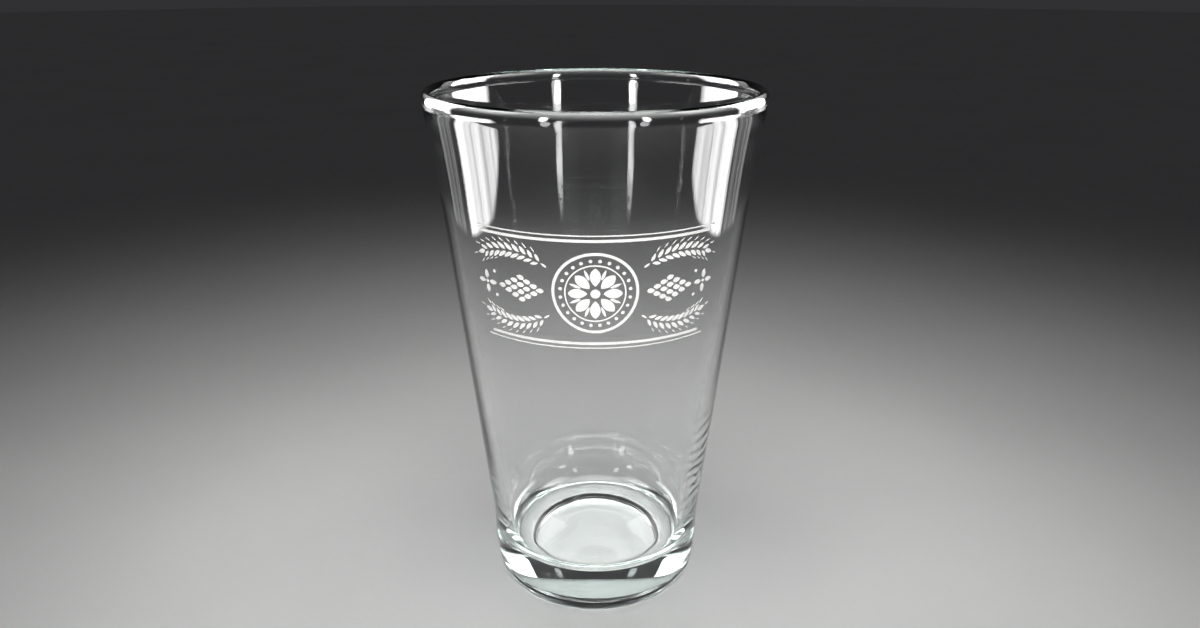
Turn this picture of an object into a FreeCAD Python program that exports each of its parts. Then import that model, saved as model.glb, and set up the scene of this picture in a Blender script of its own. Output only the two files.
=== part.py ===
import FreeCAD, Part
import math
import os

# A conical 16 US fl oz pint glass: one body of pressed glass with a fire-polished rolled lip,
# a thick base and a heel band, and a white fired-on ink decoration on the side that faces -Y.
# Millimetres. +Z is up, and the origin is the middle of the foot, on the surface it stands on.

# Driving sizes of the glass
HEIGHT = 142.9
RIM_RADIUS = 44.45
HEEL_RADIUS = 30.47
BASE_THICKNESS = 12.0
LIP_THICKNESS = 2.85

# Underside: push-up, flat foot ring and the slightly raised shoulder round it
PUSH_UP_RISE = 1.6
PUSH_UP_EDGE = (16.2, 0.6)
FOOT_INNER_RADIUS = 17.3
FOOT_OUTER_RADIUS = 18.9
SHOULDER_INNER = (FOOT_OUTER_RADIUS + 0.4, 0.25)
SHOULDER_OUTER = (FOOT_OUTER_RADIUS + 7.0, 0.45)

# Outside: rounded corner, heel band, straight wall and flare
CORNER_RADIUS = 3.6
CORNER_LEAN = math.radians(8.4)
HEEL_MIDDLE = (HEEL_RADIUS - 0.35, 9.0)
HEEL_TOP = (HEEL_RADIUS, 17.0)
WALL_FOOT = (HEEL_RADIUS + 0.23, 21.5)
WALL_TOP = (HEEL_RADIUS + 10.47, 116.0)
FLARE_MIDDLE = (HEEL_RADIUS + 11.90, 127.5)

# Lip: an upright ellipse whose outer side is the rim
LIP_HALF_WIDTH = LIP_THICKNESS / 2
LIP_HALF_HEIGHT = 2.4
LIP_OUTER_TURN = math.radians(122)
LIP_INNER_TURN = math.radians(-110)

# Inside: flare under the lip, thickened band, straight wall, rounded corner and a floor that
# rises to its middle
BORE_FLARE_MIDDLE = (RIM_RADIUS - 3.69, HEIGHT - 7.2)
BORE_TOP = (RIM_RADIUS - 4.25, HEIGHT - 10.9)
BORE_BEND = (RIM_RADIUS - 5.77, HEIGHT - 26.9)
BORE_FOOT = (26.1, BASE_THICKNESS + 5.5)
BORE_CORNER_MIDDLE = (24.5, BASE_THICKNESS + 1.9)
FLOOR_EDGE = (20.2, BASE_THICKNESS)
FLOOR_MIDDLE = BASE_THICKNESS + 4.0

# Decoration: ink on the straight wall, drawn flat with x to the right and y up from its middle
INK_THICKNESS = 0.1
PRINT_MIDDLE = 100.3
PRINT_HALF_WIDTH = 30.5
MEDALLION_RADIUS = 10.4
FRONT = 1.5 * math.pi
CIRCLE_HANDLE = 4 / 3 * math.tan(math.pi / 8)

WALL_LEAN = math.atan2(WALL_TOP[0] - WALL_FOOT[0], WALL_TOP[1] - WALL_FOOT[1])
WALL_SLANT = math.hypot(WALL_TOP[0] - WALL_FOOT[0], WALL_TOP[1] - WALL_FOOT[1])
PRINT_SLANT = (PRINT_MIDDLE - WALL_FOOT[1]) / math.cos(WALL_LEAN)
PRINT_RADIUS = WALL_FOOT[0] + PRINT_SLANT * math.sin(WALL_LEAN)


# ---- The glass ----

def at(point):
    """A point of the half section, (radius, height), as a vector."""
    return FreeCAD.Vector(point[0], 0, point[1])


def line(start, end):
    return Part.LineSegment(at(start), at(end)).toShape()


def arc(start, middle, end):
    return Part.Arc(at(start), at(middle), at(end)).toShape()


def dome(apex_height, edge):
    """An arc about a centre on the axis, from its top on the axis out to edge."""
    drop = apex_height - edge[1]
    radius = (edge[0] ** 2 + drop**2) / (2 * drop)
    middle_radius = edge[0] / 2
    rest = math.sqrt(radius**2 - middle_radius**2)
    return arc((0, apex_height), (middle_radius, apex_height - radius + rest), edge)


def lip_point(turn):
    """A point of the lip's ellipse, where turn runs from its top towards the outside."""
    radius = RIM_RADIUS - LIP_HALF_WIDTH + LIP_HALF_WIDTH * math.sin(turn)
    return radius, HEIGHT - LIP_HALF_HEIGHT + LIP_HALF_HEIGHT * math.cos(turn)


def corner_point(turn):
    """A point of the rounded corner, where turn runs from straight down towards the outside."""
    radius = SHOULDER_OUTER[0] + CORNER_RADIUS * math.sin(turn)
    return radius, SHOULDER_OUTER[1] + CORNER_RADIUS - CORNER_RADIUS * math.cos(turn)


def underside():
    """The push-up, the flat ring that the glass stands on and the shoulder round it."""
    return [
        dome(PUSH_UP_RISE, PUSH_UP_EDGE),
        line(PUSH_UP_EDGE, (FOOT_INNER_RADIUS, 0)),
        line((FOOT_INNER_RADIUS, 0), (FOOT_OUTER_RADIUS, 0)),
        line((FOOT_OUTER_RADIUS, 0), SHOULDER_INNER),
        line(SHOULDER_INNER, SHOULDER_OUTER),
    ]


def outside():
    """The rounded corner, heel band, straight wall and flare, from the underside up to the lip."""
    corner_end = math.pi / 2 - CORNER_LEAN
    heel_start = corner_point(corner_end)
    return [
        arc(SHOULDER_OUTER, corner_point(corner_end / 2), heel_start),
        arc(heel_start, HEEL_MIDDLE, HEEL_TOP),
        line(HEEL_TOP, WALL_FOOT),
        line(WALL_FOOT, WALL_TOP),
        arc(WALL_TOP, FLARE_MIDDLE, lip_point(LIP_OUTER_TURN)),
    ]


def lip():
    """The rolled lip, from its outer edge over the top to its inner edge."""
    ellipse = Part.Ellipse(
        at((RIM_RADIUS - LIP_HALF_WIDTH, HEIGHT)),
        at((RIM_RADIUS, HEIGHT - LIP_HALF_HEIGHT)),
        at((RIM_RADIUS - LIP_HALF_WIDTH, HEIGHT - LIP_HALF_HEIGHT)),
    )
    return [Part.ArcOfEllipse(ellipse, LIP_INNER_TURN, LIP_OUTER_TURN).toShape()]


def inside():
    """The bore's wall, corner and floor, from the lip down to the axis."""
    return [
        arc(lip_point(LIP_INNER_TURN), BORE_FLARE_MIDDLE, BORE_TOP),
        line(BORE_TOP, BORE_BEND),
        line(BORE_BEND, BORE_FOOT),
        arc(BORE_FOOT, BORE_CORNER_MIDDLE, FLOOR_EDGE),
        dome(FLOOR_MIDDLE, FLOOR_EDGE),
    ]


def glass_body():
    """The pressed glass: its half section turned once about the axis."""
    axis_edge = line((0, FLOOR_MIDDLE), (0, PUSH_UP_RISE))
    edges = underside() + outside() + lip() + inside() + [axis_edge]
    section = Part.Face(Part.Wire(Part.__sortEdges__(edges)))
    return section.revolve(FreeCAD.Vector(0, 0, 0), FreeCAD.Vector(0, 0, 1), 360)


# ---- Flat artwork: an island of ink is its outer loop and then its holes, a loop is a list of
# ---- edges, and an edge is the four control points of a cubic curve

def step_from(start, heading, forward, sideways=0.0):
    """The point that lies forward along heading from start, and sideways to its left."""
    ahead_x = math.cos(heading)
    ahead_y = math.sin(heading)
    return (
        start[0] + forward * ahead_x - sideways * ahead_y,
        start[1] + forward * ahead_y + sideways * ahead_x,
    )


def straight_edge(start, end):
    third = [start[i] + (end[i] - start[i]) / 3 for i in (0, 1)]
    two_thirds = [start[i] + (end[i] - start[i]) * 2 / 3 for i in (0, 1)]
    return [start, tuple(third), tuple(two_thirds), end]


def polygon(corners):
    return [straight_edge(a, b) for a, b in zip(corners, corners[1:] + corners[:1])]


def circle(centre, radius):
    """A circle as four quarter curves."""
    handle = radius * CIRCLE_HANDLE
    edges = []
    for quarter in range(4):
        turn = quarter * math.pi / 2
        next_turn = turn + math.pi / 2
        start = step_from(centre, turn, radius)
        end = step_from(centre, next_turn, radius)
        leave = step_from(start, turn, 0, handle)
        arrive = step_from(end, next_turn, 0, -handle)
        edges.append([start, leave, arrive, end])
    return edges


def petal(base, heading, length, width, bend=0.0, belly=0.5):
    """A pointed oval. bend pushes its middle to the left, and belly is where it is widest."""
    tip = step_from(base, heading, length)
    near = (belly - 0.3) * length
    far = (belly + 0.2) * length
    reach = width * 2 / 3
    left = [step_from(base, heading, d, bend + reach) for d in (near, far)]
    right = [step_from(base, heading, d, bend - reach) for d in (far, near)]
    return [[base, *left, tip], [tip, *right, base]]


def blade(base, heading, length, width):
    """A slim lozenge."""
    middle = step_from(base, heading, length / 2)
    left = step_from(middle, heading, 0, width / 2)
    right = step_from(middle, heading, 0, -width / 2)
    return polygon([base, left, step_from(base, heading, length), right])


def curve_point(curve, t):
    weights = ((1 - t) ** 3, 3 * (1 - t) ** 2 * t, 3 * (1 - t) * t**2, t**3)
    return tuple(sum(w * p[i] for w, p in zip(weights, curve)) for i in (0, 1))


def curve_heading(curve, t):
    ahead = curve_point(curve, t + 0.001)
    behind = curve_point(curve, t - 0.001)
    return math.atan2(ahead[1] - behind[1], ahead[0] - behind[0])


def mirrored(islands, sign_x, sign_y):
    """The same islands on the other side of the middle."""
    return [
        [[[(sign_x * x, sign_y * y) for x, y in edge] for edge in loop] for loop in island]
        for island in islands
    ]


# ---- Motifs ----

def rosette():
    """A disc with eight broad petals and a slim one between each two."""
    middle = (0, 0)
    islands = [[circle(middle, 1.15)]]
    for turn in (math.radians(45 * k) for k in range(8)):
        islands.append([petal(step_from(middle, turn, 1.9), turn, 4.6, 2.5, belly=0.6)])
        between = turn + math.radians(22.5)
        islands.append([petal(step_from(middle, between, 3.7), between, 2.9, 0.75)])
    return islands


def medallion_ring():
    """Two rings about the rosette with a circle of beads between them."""
    middle = (0, 0)
    beads = 24
    islands = [
        [circle(middle, MEDALLION_RADIUS), circle(middle, MEDALLION_RADIUS - 0.7)],
        [circle(middle, MEDALLION_RADIUS - 3.05), circle(middle, MEDALLION_RADIUS - 3.4)],
    ]
    for k in range(beads):
        turn = (k + 0.5) * 2 * math.pi / beads
        islands.append([circle(step_from(middle, turn, MEDALLION_RADIUS - 2.05), 0.42)])
    return islands


def barley_ear():
    """An ear of barley that leaves the medallion at its upper right and bows over towards the end."""
    spine = [(11.3, 6.2), (15.8, 9.4), (21.8, 10.3), (27.6, 8.2)]
    pairs = 9
    grain = 2.65
    islands = [[petal(spine[0], curve_heading(spine, 0.03), 1.7, 0.5)]]
    for k in range(pairs):
        place = k / (pairs - 1)
        t = 0.13 + 0.84 * place
        heading = curve_heading(spine, t)
        size = 0.8 + 0.2 * math.sin(math.pi * place)
        for side in (-1, 1):
            splay = heading + side * math.radians(36)
            base = step_from(curve_point(spine, t), heading, 0, side * 0.3)
            islands.append([petal(base, splay, grain * size, 0.95 * size, -0.1 * side)])
            if side > 0 or place > 0.5:
                awn_start = step_from(base, splay, grain * size + 0.3)
                awn_heading = heading + side * math.radians(29)
                islands.append([blade(awn_start, awn_heading, 1.7, 0.28)])
    heading = curve_heading(spine, 1)
    islands.append([petal(step_from(spine[3], heading, 0.55), heading, 2.4, 1.1)])
    islands.append([blade(step_from(spine[3], heading, 3.25), heading, 1.7, 0.28)])
    return islands


def hop_cone():
    """A hop cone lying on its side, built of rows of bracts."""
    islands = []
    for row, count in enumerate((1, 2, 3, 4, 3, 2, 1)):
        for place in range(count):
            y = (place - (count - 1) / 2) * 1.74
            x = 12.4 + 1.72 * row - 0.1 * abs(y)
            islands.append([petal((x, y), 0.1 * y, 2.0, 1.25, belly=0.45)])
    return islands


def end_cross():
    """Four petals about a dot at the end of the frieze, with two beads beside them."""
    centre = (28.6, 0)
    islands = [[circle(centre, 0.42)]]
    for turn in (math.radians(90 * k) for k in range(4)):
        islands.append([petal(step_from(centre, turn, 0.75), turn, 2.3, 1.2)])
    for side in (-1, 1):
        islands.append([circle((centre[0] - 2.8, 3.1 * side), 0.42)])
    return islands


def rule(y, thickness, half_length):
    """A level line with pointed ends."""
    half = thickness / 2
    upper = [(half_length, y + half), (-half_length, y + half)]
    lower = [(-half_length, y - half), (half_length, y - half)]
    return [polygon([*lower, (half_length + half, y), *upper, (-half_length - half, y)])]


def upper_rules():
    """A thick line with a thin one outside it, above the frieze."""
    return [rule(13.25, 0.7, PRINT_HALF_WIDTH - 2), rule(14.5, 0.3, PRINT_HALF_WIDTH)]


# ---- Ink on the wall ----

def wall_cone(offset):
    """The wall's outer surface, or the surface offset outside it."""
    height = WALL_TOP[1] - WALL_FOOT[1]
    foot = FreeCAD.Vector(0, 0, WALL_FOOT[1])
    solid = Part.makeCone(WALL_FOOT[0] + offset, WALL_TOP[0] + offset, height, foot)
    return max(solid.Faces, key=lambda face: face.Area).Surface


def wire_on(surface, loop):
    """A loop of the artwork, rolled onto a cone."""
    edges = []
    for points in loop:
        curve = Part.Geom2d.BezierCurve2d()
        curve.setPoles([
            FreeCAD.Base.Vector2d(FRONT + x / PRINT_RADIUS, PRINT_SLANT + y) for x, y in points
        ])
        edges.append(curve.toShape(surface))
    return Part.Wire(edges)


def ink_island(island):
    """One patch of ink: a face on the wall, one on the ink's surface, and the edges between."""
    faces = []
    wires = []
    for surface in (wall_cone(0), wall_cone(INK_THICKNESS)):
        loops = [wire_on(surface, loop) for loop in island]
        face = Part.Face(surface, loops[0])
        face.validate()
        if loops[1:]:
            face.cutHoles(loops[1:])
            face.validate()
        faces.append(face)
        wires.append(loops)
    for inner, outer in zip(*wires):
        for low, high in zip(inner.Edges, outer.Edges):
            faces.extend(Part.makeRuledSurface(low, high).Faces)
    skin = Part.makeCompound(faces)
    skin.sewShape()
    solid = Part.Solid(skin.Shells[0])
    if solid.Volume < 0:
        solid.reverse()
    return solid


def ink(islands):
    return Part.makeCompound([ink_island(island) for island in islands])


def export(name, shape):
    shape.exportStep("parts/" + name + ".step")
    print(name, len(shape.Solids), "solids, valid:", shape.isValid())


def main():
    os.makedirs("parts", exist_ok=True)
    export("glass_body", glass_body())
    export("print_rosette", ink(rosette()))
    export("print_medallion_ring", ink(medallion_ring()))
    for side, sign_x in (("left", -1), ("right", 1)):
        export("print_barley_upper_" + side, ink(mirrored(barley_ear(), sign_x, 1)))
        export("print_barley_lower_" + side, ink(mirrored(barley_ear(), sign_x, -1)))
        export("print_hop_cone_" + side, ink(mirrored(hop_cone(), sign_x, 1)))
        export("print_end_cross_" + side, ink(mirrored(end_cross(), sign_x, 1)))
    export("print_rules_upper", ink(upper_rules()))
    export("print_rules_lower", ink(mirrored(upper_rules(), 1, -1)))


main()
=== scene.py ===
"""Looks for the pint glass: clear pressed glass, white fired-on ink, a pale floor and soft light."""
import math

import bpy
import numpy as np
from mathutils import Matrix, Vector


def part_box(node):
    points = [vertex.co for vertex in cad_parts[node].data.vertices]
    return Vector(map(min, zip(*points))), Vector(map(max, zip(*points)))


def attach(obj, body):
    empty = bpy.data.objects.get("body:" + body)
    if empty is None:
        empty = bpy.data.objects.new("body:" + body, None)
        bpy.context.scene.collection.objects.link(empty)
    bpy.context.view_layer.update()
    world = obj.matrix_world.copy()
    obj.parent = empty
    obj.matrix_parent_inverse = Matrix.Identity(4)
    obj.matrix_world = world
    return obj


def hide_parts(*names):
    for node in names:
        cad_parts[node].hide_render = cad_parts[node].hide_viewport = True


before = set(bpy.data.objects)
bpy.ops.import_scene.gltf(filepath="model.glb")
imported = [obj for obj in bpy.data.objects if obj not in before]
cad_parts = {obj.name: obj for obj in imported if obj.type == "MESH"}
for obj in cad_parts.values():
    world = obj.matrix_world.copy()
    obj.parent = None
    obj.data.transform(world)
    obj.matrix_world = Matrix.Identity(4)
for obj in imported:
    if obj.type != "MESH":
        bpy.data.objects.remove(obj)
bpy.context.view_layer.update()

MM = 0.001

# Sizes of the glass, in metres. The height and the rim come from the frame.
GLASS_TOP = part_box("glass_body")[1]
HEIGHT = GLASS_TOP.z
RIM_RADIUS = GLASS_TOP.x
HEEL_RADIUS = 30.47 * MM
BASE_THICKNESS = 12.0 * MM
BASE_TOP = 30.0 * MM
LIP_HALF_WIDTH = 1.425 * MM
LIP_HALF_HEIGHT = 2.4 * MM
LIP_OUTER_TURN = math.radians(122)
LIP_INNER_TURN = math.radians(-110)
CORNER_RADIUS = 3.6 * MM
CORNER_LEAN = math.radians(8.4)
INK_BED = 0.03 * MM

SOFTENING_PASSES = 5

# Traces of pressing
WAVE_DEPTH = 0.06 * MM
RIPPLE_DEPTH = 0.06 * MM
RIPPLE_TURN = math.radians(-12)
RIPPLE_PITCH = 3.3 * MM
RIPPLES_TOP = 60.0 * MM
WAVES = (  # folds round the glass, slant up the wall, phase
    (2, 9, 0.4),
    (3, -14, 2.1),
    (5, 21, 1.3),
    (8, -33, 4.0),
    (13, 18, 0.9),
)

# Mesh fineness
TURNS = 240
PLAIN_STEP = 2.5 * MM
STRAIGHT_STEP = 0.9 * MM
RIPPLED_STEP = 0.42 * MM
ROUND_STEP = 0.35 * MM


# ---- Section of the glass, as (radius, height) points ----

def line_points(start, end, step):
    count = max(2, round(math.dist(start, end) / step))
    return [
        (start[0] + (end[0] - start[0]) * i / count, start[1] + (end[1] - start[1]) * i / count)
        for i in range(count)
    ]


def along(start, end, height):
    """The point of the line from start to end that is at height."""
    share = (height - start[1]) / (end[1] - start[1])
    return start[0] + share * (end[0] - start[0]), height


def circle_through(a, b, c):
    """Centre and radius of the circle through three points."""
    d = 2 * (a[0] * (b[1] - c[1]) + b[0] * (c[1] - a[1]) + c[0] * (a[1] - b[1]))
    squares = [p[0] ** 2 + p[1] ** 2 for p in (a, b, c)]
    x = (squares[0] * (b[1] - c[1]) + squares[1] * (c[1] - a[1]) + squares[2] * (a[1] - b[1])) / d
    y = (squares[0] * (c[0] - b[0]) + squares[1] * (a[0] - c[0]) + squares[2] * (b[0] - a[0])) / d
    return (x, y), math.dist((x, y), a)


def arc_points(start, middle, end, step):
    """Points along the arc from start through middle, without end."""
    centre, radius = circle_through(start, middle, end)
    angles = [math.atan2(p[1] - centre[1], p[0] - centre[0]) for p in (start, middle, end)]
    first = math.remainder(angles[1] - angles[0], math.tau)
    second = math.remainder(angles[2] - angles[1], math.tau)
    sweep = first + second
    count = max(3, round(abs(sweep) * radius / step))
    return [
        (
            centre[0] + radius * math.cos(angles[0] + sweep * i / count),
            centre[1] + radius * math.sin(angles[0] + sweep * i / count),
        )
        for i in range(count)
    ]


def dome_points(apex_height, edge, step):
    """Points from the axis out along an arc whose centre is on the axis, without edge."""
    drop = apex_height - edge[1]
    radius = (edge[0] ** 2 + drop**2) / (2 * drop)
    count = round(edge[0] / step)
    points = []
    for i in range(count):
        x = edge[0] * i / count
        rest = math.copysign(math.sqrt(radius**2 - x**2), radius)
        points.append((x, apex_height - radius + rest))
    return points


def lip_points(start_turn, end_turn, step):
    """Points of the lip's upright ellipse, where turn is 0 at its top and grows to the outside."""
    count = round(abs(end_turn - start_turn) * LIP_HALF_HEIGHT / step)
    points = []
    for i in range(count + 1):
        turn = start_turn + (end_turn - start_turn) * i / count
        points.append((
            RIM_RADIUS - LIP_HALF_WIDTH + LIP_HALF_WIDTH * math.sin(turn),
            HEIGHT - LIP_HALF_HEIGHT + LIP_HALF_HEIGHT * math.cos(turn),
        ))
    return points


def corner_point(start, turn):
    """A point of the rounded corner, where turn runs from straight down at start to the outside."""
    radius = start[0] + CORNER_RADIUS * math.sin(turn)
    return radius, start[1] + CORNER_RADIUS - CORNER_RADIUS * math.cos(turn)


def glass_section():
    """The half section, from the middle of the underside round the outside to the floor's middle."""
    push_up_edge = (16.2 * MM, 0.6 * MM)
    foot_inner = (17.3 * MM, 0)
    foot_outer = (18.9 * MM, 0)
    shoulder_inner = (19.3 * MM, 0.25 * MM)
    shoulder_outer = (25.9 * MM, 0.45 * MM)
    corner_end = math.pi / 2 - CORNER_LEAN
    corner_middle, heel_start = (corner_point(shoulder_outer, t) for t in (corner_end / 2, corner_end))
    heel_middle = (HEEL_RADIUS - 0.35 * MM, 9.0 * MM)
    heel_top = (HEEL_RADIUS, 17.0 * MM)
    wall_foot = (HEEL_RADIUS + 0.23 * MM + INK_BED, 21.5 * MM)
    wall_top = (HEEL_RADIUS + 10.47 * MM + INK_BED, 116.0 * MM)
    ripples_end = along(wall_foot, wall_top, RIPPLES_TOP)
    flare_middle = (HEEL_RADIUS + 11.90 * MM, 127.5 * MM)
    lip = lip_points(LIP_OUTER_TURN, LIP_INNER_TURN, ROUND_STEP)
    bore_flare_middle = (RIM_RADIUS - 3.69 * MM, HEIGHT - 7.2 * MM)
    bore_top = (RIM_RADIUS - 4.25 * MM, HEIGHT - 10.9 * MM)
    bore_bend = (RIM_RADIUS - 5.77 * MM, HEIGHT - 26.9 * MM)
    bore_foot = (26.1 * MM, BASE_THICKNESS + 5.5 * MM)
    bore_low = along(bore_bend, bore_foot, BASE_TOP)
    bore_corner_middle = (24.5 * MM, BASE_THICKNESS + 1.9 * MM)
    floor_edge = (20.2 * MM, BASE_THICKNESS)
    floor_middle = BASE_THICKNESS + 4.0 * MM
    points = dome_points(1.6 * MM, push_up_edge, STRAIGHT_STEP)
    points += line_points(push_up_edge, foot_inner, ROUND_STEP)
    points += line_points(foot_inner, foot_outer, ROUND_STEP)
    points += line_points(foot_outer, shoulder_inner, ROUND_STEP)
    points += line_points(shoulder_inner, shoulder_outer, STRAIGHT_STEP)
    points += arc_points(shoulder_outer, corner_middle, heel_start, ROUND_STEP)
    points += arc_points(heel_start, heel_middle, heel_top, ROUND_STEP)
    points += line_points(heel_top, wall_foot, ROUND_STEP)
    points += line_points(wall_foot, ripples_end, RIPPLED_STEP)
    points += line_points(ripples_end, wall_top, PLAIN_STEP)
    points += arc_points(wall_top, flare_middle, lip[0], STRAIGHT_STEP)
    points += lip
    points += arc_points(lip[-1], bore_flare_middle, bore_top, ROUND_STEP)[1:]
    points += line_points(bore_top, bore_bend, PLAIN_STEP)
    points += line_points(bore_bend, bore_low, PLAIN_STEP)
    points += line_points(bore_low, bore_foot, STRAIGHT_STEP)
    points += arc_points(bore_foot, bore_corner_middle, floor_edge, ROUND_STEP)
    points += [floor_edge]
    points += dome_points(floor_middle, floor_edge, STRAIGHT_STEP)[::-1]
    return points


def soften(section, passes):
    """Rounds the creases of the base, as fire polishing does. The lip and the flat foot ring stay."""
    points = np.array(section)
    in_base = (points[1:-1, 1] > 0.001 * MM) & (points[1:-1, 1] < BASE_TOP)
    for _ in range(passes):
        middles = (points[:-2] + points[2:]) / 2
        points[1:-1] += 0.5 * in_base[:, None] * (middles - points[1:-1])
    return points


def smooth_step(low, high, value):
    share = np.clip((value - low) / (high - low), 0, 1)
    return share * share * (3 - 2 * share)


def flow_waves(turn, height):
    """The long, faint waves that pressing leaves in a wall, from -1 to 1."""
    waves = 0
    for folds, slant, phase in WAVES:
        waves = waves + np.cos(folds * turn + slant * height / 0.1 * 0.2 + phase)
    return waves / len(WAVES)


def chill_ripples(turn, height):
    """Close ripples low on the right side, where hot glass met the cold mould. 0 is no dent."""
    off_middle = np.abs(np.remainder(turn - RIPPLE_TURN + math.pi, math.tau) - math.pi)
    patch = (1 - smooth_step(0.25, 0.6, off_middle)) * smooth_step(20 * MM, 26 * MM, height)
    patch = patch * (1 - smooth_step(42 * MM, RIPPLES_TOP, height))
    sway = 1.6 * np.sin(height / (4.1 * MM) + 7 * turn) + 0.9 * np.sin(height / (1.9 * MM) - 11 * turn)
    strength = 0.7 + 0.3 * np.sin(height / (2.7 * MM) + 13 * turn)
    return patch * strength * (1 + np.sin(math.tau * height / RIPPLE_PITCH + 6 * turn + sway)) / 2


def revolve(section, name):
    """A closed mesh of the section turned about the axis. Its first and last points are on the axis."""
    ring = section[1:-1]
    turns = np.arange(TURNS) * math.tau / TURNS
    radii = np.repeat(ring[:, 0][:, None], TURNS, axis=1)
    zs = np.repeat(ring[:, 1][:, None], TURNS, axis=1)
    inside = np.arange(len(ring))[:, None] > np.argmax(ring[:, 1])
    between_ends = smooth_step(20 * MM, 40 * MM, zs)
    between_ends = between_ends * (1 - smooth_step(HEIGHT - 25 * MM, HEIGHT - 8 * MM, zs))
    radii = radii + inside * between_ends * WAVE_DEPTH * flow_waves(turns, zs)
    radii = radii - ~inside * RIPPLE_DEPTH * chill_ripples(turns, zs)
    xs = radii * np.cos(turns)
    ys = radii * np.sin(turns)
    verts = np.stack([xs, ys, zs], axis=-1).reshape(-1, 3)
    low = len(verts)
    high = low + 1
    verts = np.vstack([verts, [0, 0, section[0][1]], [0, 0, section[-1][1]]])
    faces = []
    for row in range(len(ring) - 1):
        for turn in range(TURNS):
            after = (turn + 1) % TURNS
            a, b = row * TURNS + turn, row * TURNS + after
            faces.append((a, b, b + TURNS, a + TURNS))
    last = (len(ring) - 1) * TURNS
    for turn in range(TURNS):
        after = (turn + 1) % TURNS
        faces.append((after, turn, low))
        faces.append((last + turn, last + after, high))
    mesh = bpy.data.meshes.new(name)
    mesh.from_pydata(verts.tolist(), [], faces)
    mesh.shade_smooth()
    return mesh


def link(name, data):
    piece = bpy.data.objects.new(name, data)
    bpy.context.scene.collection.objects.link(piece)
    return piece


# ---- Materials ----

def new_material(name):
    material = bpy.data.materials.new(name)
    material.use_nodes = True
    tree = material.node_tree
    return material, tree, tree.nodes["Principled BSDF"]


def noise(tree, scale, detail, stretch=(1, 1, 1)):
    """A noise in object space. scale is in waves a metre, and stretch changes it along each axis."""
    place = tree.nodes.new("ShaderNodeTexCoord")
    mapping = tree.nodes.new("ShaderNodeMapping")
    mapping.inputs["Scale"].default_value = stretch
    texture = tree.nodes.new("ShaderNodeTexNoise")
    texture.inputs["Scale"].default_value = scale
    texture.inputs["Detail"].default_value = detail
    tree.links.new(place.outputs["Object"], mapping.inputs["Vector"])
    tree.links.new(mapping.outputs["Vector"], texture.inputs["Vector"])
    return texture.outputs["Fac"]


def spread_over(tree, value, stops):
    """A colour ramp of (position, grey or colour) stops that is driven by value."""
    ramp = tree.nodes.new("ShaderNodeValToRGB")
    for element, (position, colour) in zip(ramp.color_ramp.elements, stops):
        element.position = position
        element.color = colour if isinstance(colour, tuple) else (colour, colour, colour, 1)
    tree.links.new(value, ramp.inputs["Fac"])
    return ramp.outputs["Color"]


def bump(tree, height, depth):
    """A normal from a height of 0 to 1 that stands for depth in metres."""
    node = tree.nodes.new("ShaderNodeBump")
    node.inputs["Distance"].default_value = depth
    tree.links.new(height, node.inputs["Height"])
    return node.outputs["Normal"]


def glass_material():
    """Clear soda-lime glass with a faint green body tint, drawn streaks and a few wiped smudges."""
    material, tree, shader = new_material("clear_glass")
    shader.inputs["Base Color"].default_value = (1, 1, 1, 1)
    shader.inputs["IOR"].default_value = 1.52
    shader.inputs["Transmission Weight"].default_value = 1.0
    smudges = spread_over(tree, noise(tree, 38, 4, (1, 1, 0.45)), ((0.6, 0.0), (0.85, 0.03)))
    tree.links.new(smudges, shader.inputs["Roughness"])
    streaks = noise(tree, 150, 2, (1, 1, 0.08))
    tree.links.new(bump(tree, streaks, 0.016 * MM), shader.inputs["Normal"])
    tint = tree.nodes.new("ShaderNodeVolumeAbsorption")
    tint.inputs["Color"].default_value = (0.74, 0.90, 0.86, 1)
    tint.inputs["Density"].default_value = 9.0
    output = tree.nodes["Material Output"]
    tree.links.new(tint.outputs["Volume"], output.inputs["Volume"])
    return material


def ink_material():
    """Opaque white ceramic ink: satin, slightly uneven in tone, with the grain that firing leaves."""
    material, tree, shader = new_material("white_fired_ink")
    tone = spread_over(
        tree, noise(tree, 420, 3), ((0.3, (0.70, 0.70, 0.685, 1)), (0.7, (0.82, 0.82, 0.805, 1)))
    )
    tree.links.new(tone, shader.inputs["Base Color"])
    gloss = spread_over(tree, noise(tree, 900, 2), ((0.3, 0.34), (0.7, 0.52)))
    tree.links.new(gloss, shader.inputs["Roughness"])
    tree.links.new(bump(tree, noise(tree, 2600, 3), 0.02 * MM), shader.inputs["Normal"])
    return material


def floor_material():
    """Matt pale board with a very faint mottle."""
    material, tree, shader = new_material("pale_floor")
    tone = spread_over(
        tree, noise(tree, 9, 5), ((0.3, (0.745, 0.745, 0.74, 1)), (0.7, (0.80, 0.80, 0.79, 1)))
    )
    tree.links.new(tone, shader.inputs["Base Color"])
    shader.inputs["Roughness"].default_value = 0.7
    shader.inputs["Specular IOR Level"].default_value = 0.25
    tree.links.new(bump(tree, noise(tree, 700, 3), 0.03 * MM), shader.inputs["Normal"])
    return material


# ---- Pieces ----

glass = link("clear_glass_body", revolve(soften(glass_section(), SOFTENING_PASSES), "clear_glass_body"))
glass.data.materials.append(glass_material())
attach(glass, "root")
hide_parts("glass_body")

ink = ink_material()
printed = [node for name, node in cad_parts.items() if name.startswith("print_")]
for node in printed:
    node.data.materials.clear()
    node.data.materials.append(ink)

# ---- Stage ----

FLOOR_RADIUS = 4.0
FLOOR_SIDES = 64
PANEL_DISTANCE = 0.28
BASE_MIDDLE = (0, 0, 0.01)
WORLD_GREY = (0.03, 0.03, 0.032, 1)


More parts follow.
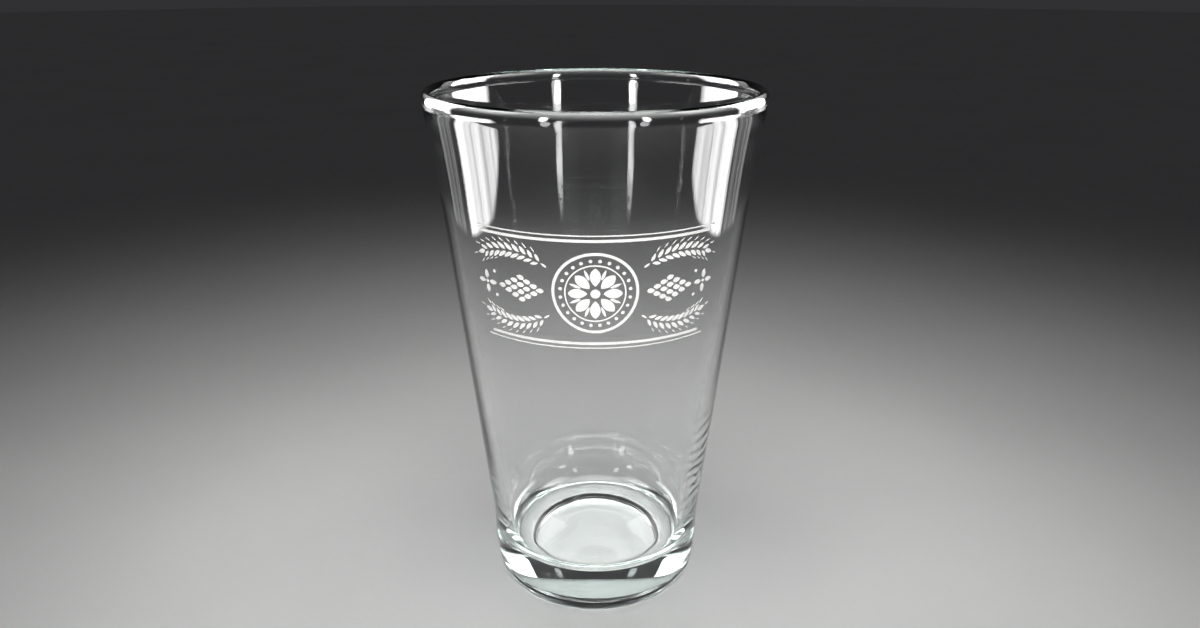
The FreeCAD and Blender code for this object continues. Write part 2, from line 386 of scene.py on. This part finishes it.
def floor():
    mesh = bpy.data.meshes.new("floor")
    verts = [
        (FLOOR_RADIUS * math.cos(turn), FLOOR_RADIUS * math.sin(turn), 0)
        for turn in (math.tau * i / FLOOR_SIDES for i in range(FLOOR_SIDES))
    ]
    mesh.from_pydata(verts, [], [tuple(range(FLOOR_SIDES))])
    mesh.materials.append(floor_material())
    return link("floor", mesh)


floor()


def soft_light(name, place, target, size, power, spread, only=None):
    """A rectangular softbox of the given size (width, height), aimed at target."""
    data = bpy.data.lights.new(name, "AREA")
    data.shape = "RECTANGLE"
    data.size, data.size_y = size
    data.energy = power
    data.spread = math.radians(spread)
    light = link(name, data)
    light.location = place
    light.rotation_euler = (Vector(target) - Vector(place)).to_track_quat("-Z", "Y").to_euler()
    light.visible_camera = False
    if only:
        light.light_linking.receiver_collection = only
    return light


def receivers(name, pieces):
    """A collection that a lamp may be limited to."""
    group = bpy.data.collections.new(name)
    for piece in pieces:
        group.objects.link(piece)
    return group


def multiply(tree, a, b):
    node = tree.nodes.new("ShaderNodeMath")
    node.operation = "MULTIPLY"
    tree.links.new(a, node.inputs[0])
    tree.links.new(b, node.inputs[1])
    return node.outputs["Value"]


def feather(tree, across, width):
    """Rises from 0 at either edge of a softbox to 1 at width from it, where across runs from 0 to 1."""
    edge = tree.nodes.new("ShaderNodeMath")
    edge.operation = "PINGPONG"
    edge.inputs[1].default_value = 0.5
    tree.links.new(across, edge.inputs[0])
    ramp = spread_over(tree, edge.outputs["Value"], ((0.0, 0.0), (width, 1.0)))
    ramp.node.color_ramp.interpolation = "EASE"
    return ramp


def drape(light, side_width, end_width, darkest_fold):
    """Fades a softbox towards its sides and ends, and dims the folds of its cloth to darkest_fold."""
    light.data.use_nodes = True
    tree = light.data.node_tree
    place = tree.nodes.new("ShaderNodeNewGeometry")
    parts = tree.nodes.new("ShaderNodeSeparateXYZ")
    tree.links.new(place.outputs["Parametric"], parts.inputs["Vector"])
    folds = tree.nodes.new("ShaderNodeTexNoise")
    folds.noise_dimensions = "1D"
    folds.inputs["Scale"].default_value = 9.0
    tree.links.new(parts.outputs["X"], folds.inputs["W"])
    cloth = spread_over(tree, folds.outputs["Fac"], ((0.35, darkest_fold), (0.62, 1.0)))
    sides = feather(tree, parts.outputs["X"], side_width)
    ends = feather(tree, parts.outputs["Y"], end_width)
    strength = multiply(tree, multiply(tree, sides, ends), cloth)
    tree.links.new(strength, tree.nodes["Emission"].inputs["Strength"])


glass_only = receivers("glass_only", [glass])
whole_object = receivers("whole_object", [glass, *printed])


def side_panel(name, sign, depths, heights, glow, darkest_fold):
    """An upright softbox beside the glass, between two depths along y. It shows only as a reflection."""
    depth = sum(depths) / 2
    height = sum(heights) / 2
    size = (depths[1] - depths[0], heights[1] - heights[0])
    power = glow * size[0] * size[1]
    light = soft_light(
        name, (PANEL_DISTANCE * sign, depth, height), (0, depth, height), size, power, 180, glass_only
    )
    light.visible_transmission = False
    drape(light, 0.1, 0.06, darkest_fold)


side_panel("side_left", -1, (-0.15, 0.05), (0, 0.09), 52, 0.5)
side_panel("side_right", 1, (-0.13, 0.065), (0, 0.09), 50, 0.5)
for side, sign in (("left", -1), ("right", 1)):
    side_panel("dim_" + side, sign, (0.065, 0.17), (0, 0.12), 5, 0.05)
    side_panel("upper_" + side, sign, (0.02, 0.30), (0.09, 0.40), 70, 0.7)
    low = (0.30 * sign, -0.06, 0.34)
    rear = (0.22 * sign, 0.26, 0.21)
    front = (0.27 * sign, -0.45, 0.25)
    soft_light("low_" + side, low, BASE_MIDDLE, (0.26, 0.2), 0.15, 60, glass_only)
    soft_light("rear_" + side, rear, BASE_MIDDLE, (0.17, 0.2), 0.035, 60, glass_only)
    strip = soft_light("front_" + side, front, (0, 0, 0.12), (0.06, 0.36), 0.55, 44, whole_object)
    drape(strip, 0.5, 0.45, 1.0)
soft_light("top", (0, -0.05, 0.40), (0, -0.05, 0), (0.25, 0.25), 0.46, 105)

world = bpy.data.worlds.new("studio")
world.use_nodes = True
world.node_tree.nodes["Background"].inputs["Color"].default_value = WORLD_GREY
bpy.context.scene.world = world

# ---- Camera ----

SENSOR_WIDTH = 36.0
CAMERA_DISTANCE = 0.2404
CAMERA_HEIGHT = 0.1725
CAMERA_PITCH = math.radians(21.0)
CAMERA_YAW = math.radians(-0.31)
FOCAL_PER_WIDTH = 915 / 1200

camera_data = bpy.data.cameras.new("camera")
camera_data.sensor_width = SENSOR_WIDTH
camera_data.lens = SENSOR_WIDTH * FOCAL_PER_WIDTH
camera_data.clip_start = 0.01
camera_data.clip_end = 20.0
camera = link("camera", camera_data)
camera.location = (0, -CAMERA_DISTANCE, CAMERA_HEIGHT)
camera.rotation_euler = (math.pi / 2 - CAMERA_PITCH, 0, CAMERA_YAW)
scene = bpy.context.scene
scene.camera = camera
scene.cycles.max_bounces = 24
scene.cycles.transmission_bounces = 24
scene.cycles.glossy_bounces = 12
scene.view_settings.view_transform = "Standard"
